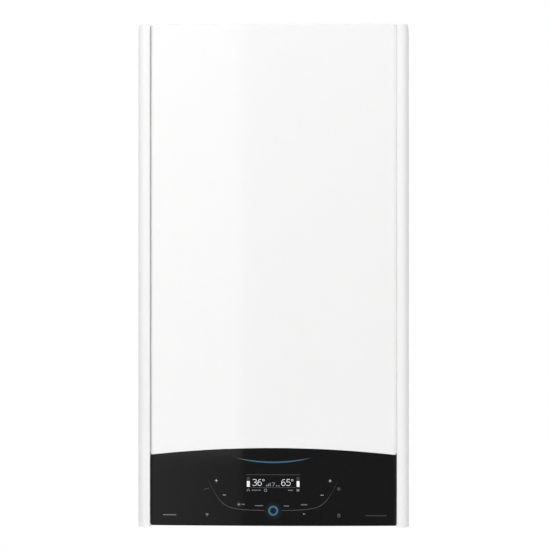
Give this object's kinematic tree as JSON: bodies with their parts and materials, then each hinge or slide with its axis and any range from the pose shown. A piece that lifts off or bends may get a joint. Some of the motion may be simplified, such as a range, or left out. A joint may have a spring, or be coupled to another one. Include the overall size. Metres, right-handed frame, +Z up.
{
  "type": "central heating boiler",
  "caption": "Wall-hung condensing boiler with a white lift-off front, rounded corner columns and a tilting black control fascia over its pump, valves and pipe tails",
  "frame": {"origin": "middle of the wall bracket's screw line, on the wall plane", "axes": "+X to the viewer's right, +Y into the wall, +Z up"},
  "size_m": [0.4, 0.32, 0.74],
  "materials": {
    "white_sheet": "gloss powder coat",
    "white_moulding": "gloss",
    "zinc_sheet": "galvanised",
    "steel_bracket": "zinc plated",
    "stainless": "satin",
    "cast_aluminium": "as cast",
    "copper": "drawn tube",
    "brass": "machined",
    "black_gloss": "mirror gloss",
    "black_moulding": "fine texture",
    "grey_moulding": "fine texture",
    "white_flue": "fine texture",
    "vessel_paint": "satin paint",
    "rubber": "matt",
    "foam": "closed cell",
    "blue_moulding": "satin",
    "red_moulding": "satin",
    "ceramic": "glazed",
    "circuit_board": "solder mask",
    "display_glass": "gloss",
    "key_light": "translucent",
    "steel_pin": "ground",
    "silicone_lead": "satin"
  },
  "bodies": {
    "chassis": {"wall_bracket": "steel_bracket", "hanger_rail": "steel_bracket", "wall_buffers": "rubber", "back_plate": "zinc_sheet", "right_side_panel": "white_sheet", "left_side_panel": "white_sheet", "right_column": "white_moulding", "left_column": "white_moulding", "top_panel": "zinc_sheet", "mid_rail": "zinc_sheet", "pipe_rail": "zinc_sheet", "front_seal": "foam", "flue_tube": "white_flue", "flue_collar": "white_flue", "test_point_caps": "black_moulding", "exchanger_shell": "stainless", "exchanger_coil": "stainless", "exchanger_brackets": "zinc_sheet", "burner_door": "cast_aluminium", "door_nuts": "steel_bracket", "burner_tube": "stainless", "electrodes": "ceramic", "ignition_transformer": "black_moulding", "ignition_lead": "silicone_lead", "fan_housing": "cast_aluminium", "fan_motor": "black_moulding", "air_mixer": "grey_moulding", "air_silencer": "black_moulding", "gas_valve": "cast_aluminium", "gas_pipe": "copper", "expansion_vessel": "vessel_paint", "vessel_pipe": "copper", "pipe_tails": "brass", "return_group": "grey_moulding", "pump_motor": "black_moulding", "air_vent": "black_moulding", "flow_group": "grey_moulding", "diverter_motor": "black_moulding", "plate_exchanger": "stainless", "relief_valve": "brass", "condensate_trap": "white_flue", "condensate_hose": "rubber", "flow_pipe": "copper", "return_pipe": "copper", "hinge_pins": "steel_pin"},
    "front_casing": {"front_panel": "white_sheet", "casing_hangers": "steel_bracket"},
    "control_box": {"control_fascia": "black_gloss", "control_tray": "grey_moulding", "cable_gland": "black_moulding", "circuit_boards": "circuit_board", "display_unit": "display_glass"},
    "centre_key": {"key_ring": "key_light", "key_core": "black_gloss"},
    "fan_rotor": {"fan_wheel": "grey_moulding"},
    "pump_impeller": {"pump_rotor": "grey_moulding"},
    "diverter_plug": {"diverter_spindle": "brass"},
    "filling_handle": {"filling_tap": "blue_moulding"},
    "drain_handle": {"drain_tap": "black_moulding"},
    "relief_handle": {"relief_knob": "red_moulding"}
  },
  "joints": [
    {"name": "front_casing_lift", "type": "slide", "parent": "chassis", "child": "front_casing", "axis": [0, -0.4472, 0.8944], "range_m": [0, 0.7]},
    {"name": "control_box_tilt", "type": "hinge", "parent": "chassis", "child": "control_box", "pos_m": [0, -0.288, -0.666], "axis": [1, 0, 0], "range_deg": [0, 90]},
    {"name": "centre_key_press", "type": "slide", "parent": "control_box", "child": "centre_key", "axis": [0, 1, 0], "range_m": [0, 0.0008], "stiffness_N_per_m": 1500},
    {"name": "fan_wheel_spin", "type": "hinge", "parent": "chassis", "child": "fan_rotor", "pos_m": [0.058, -0.27, -0.334], "axis": [0, 1, 0], "continuous": true},
    {"name": "pump_rotor_spin", "type": "hinge", "parent": "chassis", "child": "pump_impeller", "pos_m": [0.11, -0.098, -0.52], "axis": [0, 1, 0], "continuous": true},
    {"name": "diverter_stroke", "type": "slide", "parent": "chassis", "child": "diverter_plug", "axis": [0, 0, 1], "range_m": [0, 0.008]},
    {"name": "filling_tap_turn", "type": "hinge", "parent": "chassis", "child": "filling_handle", "pos_m": [0.1005, -0.07, -0.65], "axis": [0, 0, 1], "range_deg": [0, 90]},
    {"name": "drain_tap_turn", "type": "hinge", "parent": "chassis", "child": "drain_handle", "pos_m": [-0.1005, -0.07, -0.65], "axis": [0, 0, 1], "range_deg": [0, 90]},
    {"name": "relief_knob_turn", "type": "hinge", "parent": "chassis", "child": "relief_handle", "pos_m": [0.14, -0.14, -0.605], "axis": [0, 1, 0], "range_deg": [0, 90]}
  ]
}
